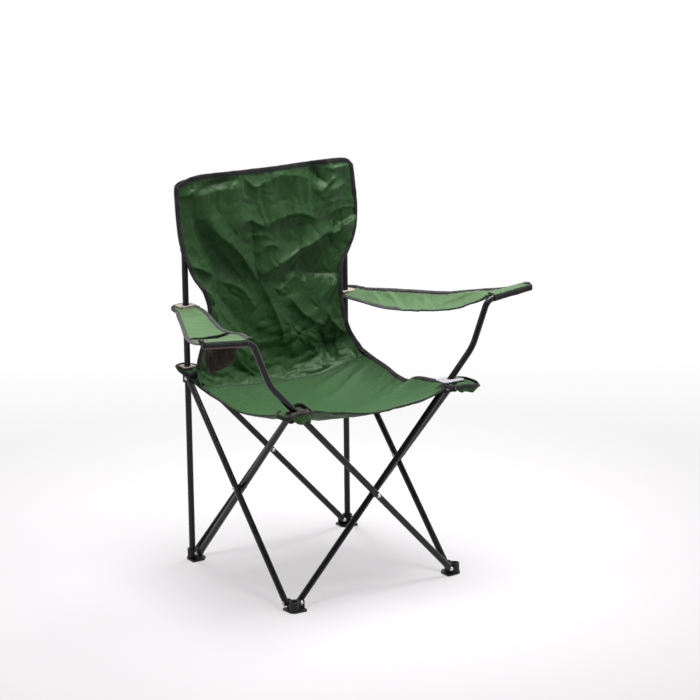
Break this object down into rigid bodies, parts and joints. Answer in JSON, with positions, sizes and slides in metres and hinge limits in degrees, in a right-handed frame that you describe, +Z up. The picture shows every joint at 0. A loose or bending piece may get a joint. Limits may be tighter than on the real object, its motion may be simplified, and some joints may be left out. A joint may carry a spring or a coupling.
{
  "type": "folding camp chair",
  "caption": "Folding camp chair with crossed black tubes, two uprights, a sling seat, a shaped cloth back and cloth armrests, the left one with a mesh cup pocket.",
  "frame": {"origin": "centre of the chair on the ground, under the middle of its overall box", "axes": "+Z up, -Y is the front edge of the seat, +X is the left hand side of a person sitting in the chair"},
  "size_m": [0.808, 0.4659, 0.828],
  "materials": {
    "black_tube": "satin black powder coat",
    "black_plastic": "moulded black plastic",
    "rivet_steel": "bright domed rivets",
    "green_cloth": "woven polyester, creased, black bound edges",
    "black_mesh": "open black mesh",
    "cream_plastic": "off-white reinforcing washer plate"
  },
  "bodies": {
    "rear_left": {"foot_rear_left": "black_plastic", "rivets_foot_rear_left": "rivet_steel", "upright_left": "black_tube", "cap_left": "black_plastic", "back": "green_cloth", "pocket_left": "green_cloth"},
    "rear_right": {"foot_rear_right": "black_plastic", "rivets_foot_rear_right": "rivet_steel", "upright_right": "black_tube", "cap_right": "black_plastic", "pocket_right": "green_cloth"},
    "front_left": {"foot_front_left": "black_plastic", "rivets_foot_front_left": "rivet_steel"},
    "front_right": {"foot_front_right": "black_plastic", "rivets_foot_front_right": "rivet_steel"},
    "leg_left_inner": {"leg_left_inner": "black_tube", "spacer_left": "black_plastic", "rivet_left": "rivet_steel"},
    "leg_left_outer": {"leg_left_outer": "black_tube"},
    "leg_rear_outer": {"leg_rear_outer": "black_tube", "spacer_rear": "black_plastic", "rivet_rear": "rivet_steel"},
    "leg_rear_inner": {"leg_rear_inner": "black_tube"},
    "leg_right_outer": {"leg_right_outer": "black_tube", "spacer_right": "black_plastic", "rivet_right": "rivet_steel"},
    "leg_right_inner": {"leg_right_inner": "black_tube"},
    "leg_front_inner": {"leg_front_inner": "black_tube", "spacer_front": "black_plastic", "rivet_front": "rivet_steel", "plug_right": "black_plastic", "sleeve_right": "green_cloth", "tab_front_right": "green_cloth", "plate_front_right": "cream_plastic"},
    "leg_front_outer": {"leg_front_outer": "black_tube", "plug_left": "black_plastic", "sleeve_left": "green_cloth", "tab_front_left": "green_cloth", "plate_front_left": "cream_plastic"},
    "slider_left": {"slider_left": "black_plastic", "rivets_slider_left": "rivet_steel", "tab_rear_left": "green_cloth", "plate_rear_left": "cream_plastic"},
    "slider_right": {"slider_right": "black_plastic", "rivets_slider_right": "rivet_steel", "tab_rear_right": "green_cloth", "plate_rear_right": "cream_plastic"},
    "bracket_left": {"bracket_left": "black_plastic", "rivets_bracket_left": "rivet_steel"},
    "bracket_right": {"bracket_right": "black_plastic", "rivets_bracket_right": "rivet_steel"},
    "arm_tab_left": {"tab_arm_left": "green_cloth", "plate_arm_left": "cream_plastic"},
    "arm_tab_right": {"tab_arm_right": "green_cloth", "plate_arm_right": "cream_plastic"},
    "seat_left": {"seat_left": "green_cloth"},
    "seat_right": {"seat_right": "green_cloth"},
    "armrest_left": {"armrest_left": "green_cloth", "cup_mesh": "black_mesh"},
    "armrest_right": {"armrest_right": "green_cloth"}
  },
  "joints": [
    {"name": "fold", "type": "hinge", "parent": "rear_left", "child": "leg_left_inner", "pos_m": [-0.1911, 0.182, 0.0165], "axis": [-1, 0, 0], "range_deg": [0, 36], "deforming": ["back"]},
    {"name": "cross_left", "type": "hinge", "parent": "leg_left_inner", "child": "leg_left_outer", "pos_m": [-0.1995, 0, 0.2105], "axis": [1, 0, 0], "range_deg": [0, 72]},
    {"name": "slider_left_pin", "type": "hinge", "parent": "leg_left_outer", "child": "slider_left", "pos_m": [-0.2079, 0.182, 0.4045], "axis": [-1, 0, 0], "range_deg": [0, 36]},
    {"name": "foot_front_left_pin", "type": "hinge", "parent": "leg_left_outer", "child": "front_left", "pos_m": [-0.2079, -0.182, 0.0165], "axis": [-1, 0, 0], "range_deg": [0, 36]},
    {"name": "bracket_left_pin", "type": "hinge", "parent": "leg_left_inner", "child": "bracket_left", "pos_m": [-0.1911, -0.182, 0.4045], "axis": [1, 0, 0], "range_deg": [0, 36]},
    {"name": "front_leg_pin", "type": "hinge", "parent": "front_left", "child": "leg_front_inner", "pos_m": [-0.182, -0.1911, 0.0165], "axis": [0, -1, 0], "range_deg": [0, 36]},
    {"name": "cross_front", "type": "hinge", "parent": "leg_front_inner", "child": "leg_front_outer", "pos_m": [0, -0.1995, 0.2105], "axis": [0, 1, 0], "range_deg": [0, 72]},
    {"name": "foot_front_right_pin", "type": "hinge", "parent": "leg_front_outer", "child": "front_right", "pos_m": [0.182, -0.2079, 0.0165], "axis": [0, -1, 0], "range_deg": [0, 36]},
    {"name": "rear_leg_pin", "type": "hinge", "parent": "rear_left", "child": "leg_rear_outer", "pos_m": [-0.182, 0.2079, 0.0165], "axis": [0, -1, 0], "range_deg": [0, 36]},
    {"name": "cross_rear", "type": "hinge", "parent": "leg_rear_outer", "child": "leg_rear_inner", "pos_m": [0, 0.1995, 0.2105], "axis": [0, 1, 0], "range_deg": [0, 72]},
    {"name": "foot_rear_right_pin", "type": "hinge", "parent": "leg_rear_inner", "child": "rear_right", "pos_m": [0.182, 0.1911, 0.0165], "axis": [0, -1, 0], "range_deg": [0, 36]},
    {"name": "slider_right_pin", "type": "hinge", "parent": "leg_rear_outer", "child": "slider_right", "pos_m": [0.182, 0.2079, 0.4045], "axis": [0, 1, 0], "range_deg": [0, 36]},
    {"name": "right_leg_pin", "type": "hinge", "parent": "rear_right", "child": "leg_right_outer", "pos_m": [0.2079, 0.182, 0.0165], "axis": [-1, 0, 0], "range_deg": [0, 36]},
    {"name": "cross_right", "type": "hinge", "parent": "leg_right_outer", "child": "leg_right_inner", "pos_m": [0.1995, 0, 0.2105], "axis": [1, 0, 0], "range_deg": [0, 72]},
    {"name": "bracket_right_pin", "type": "hinge", "parent": "leg_right_outer", "child": "bracket_right", "pos_m": [0.2079, -0.182, 0.4045], "axis": [1, 0, 0], "range_deg": [0, 36]},
    {"name": "arm_tab_left_slide", "type": "slide", "parent": "rear_left", "child": "arm_tab_left", "axis": [0, 0, 1], "range_m": [0, 0.02]},
    {"name": "arm_tab_right_slide", "type": "slide", "parent": "rear_right", "child": "arm_tab_right", "axis": [0, 0, 1], "range_m": [0, 0.04]},
    {"name": "seat_left_fold", "type": "hinge", "parent": "slider_left", "child": "seat_left", "pos_m": [-0.197, 0, 0.4], "axis": [0, 1, 0], "range_deg": [0, 67.9], "deforming": ["seat_left"]},
    {"name": "seat_right_fold", "type": "hinge", "parent": "slider_right", "child": "seat_right", "pos_m": [0.197, 0, 0.4], "axis": [0, -1, 0], "range_deg": [0, 67.9], "deforming": ["seat_right"]},
    {"name": "arm_left_swing", "type": "hinge", "parent": "arm_tab_left", "child": "armrest_left", "pos_m": [-0.2005, 0.172, 0.552], "axis": [-0.8146, 0.458, 0.356], "range_deg": [0, 70.63], "deforming": ["armrest_left", "cup_mesh"]},
    {"name": "arm_right_swing", "type": "hinge", "parent": "arm_tab_right", "child": "armrest_right", "pos_m": [0.2005, 0.172, 0.529], "axis": [-0.82, -0.446, -0.3588], "range_deg": [0, 72.07], "deforming": ["armrest_right"]}
  ],
  "couplings": [
    {"joint": "cross_left", "follows": "fold", "ratio": 2},
    {"joint": "slider_left_pin", "follows": "fold", "ratio": 1},
    {"joint": "foot_front_left_pin", "follows": "fold", "ratio": 1},
    {"joint": "bracket_left_pin", "follows": "fold", "ratio": 1},
    {"joint": "front_leg_pin", "follows": "fold", "ratio": 1},
    {"joint": "cross_front", "follows": "fold", "ratio": 2},
    {"joint": "foot_front_right_pin", "follows": "fold", "ratio": 1},
    {"joint": "rear_leg_pin", "follows": "fold", "ratio": 1},
    {"joint": "cross_rear", "follows": "fold", "ratio": 2},
    {"joint": "foot_rear_right_pin", "follows": "fold", "ratio": 1},
    {"joint": "slider_right_pin", "follows": "fold", "ratio": 1},
    {"joint": "right_leg_pin", "follows": "fold", "ratio": 1},
    {"joint": "cross_right", "follows": "fold", "ratio": 2},
    {"joint": "bracket_right_pin", "follows": "fold", "ratio": 1},
    {"joint": "arm_tab_left_slide", "follows": "fold", "m_per_rad": 0.03183},
    {"joint": "arm_tab_right_slide", "follows": "fold", "m_per_rad": 0.06366},
    {"joint": "seat_left_fold", "follows": "fold", "ratio": 1.886},
    {"joint": "seat_right_fold", "follows": "fold", "ratio": 1.886},
    {"joint": "arm_left_swing", "follows": "fold", "ratio": 1.962},
    {"joint": "arm_right_swing", "follows": "fold", "ratio": 2.002}
  ]
}
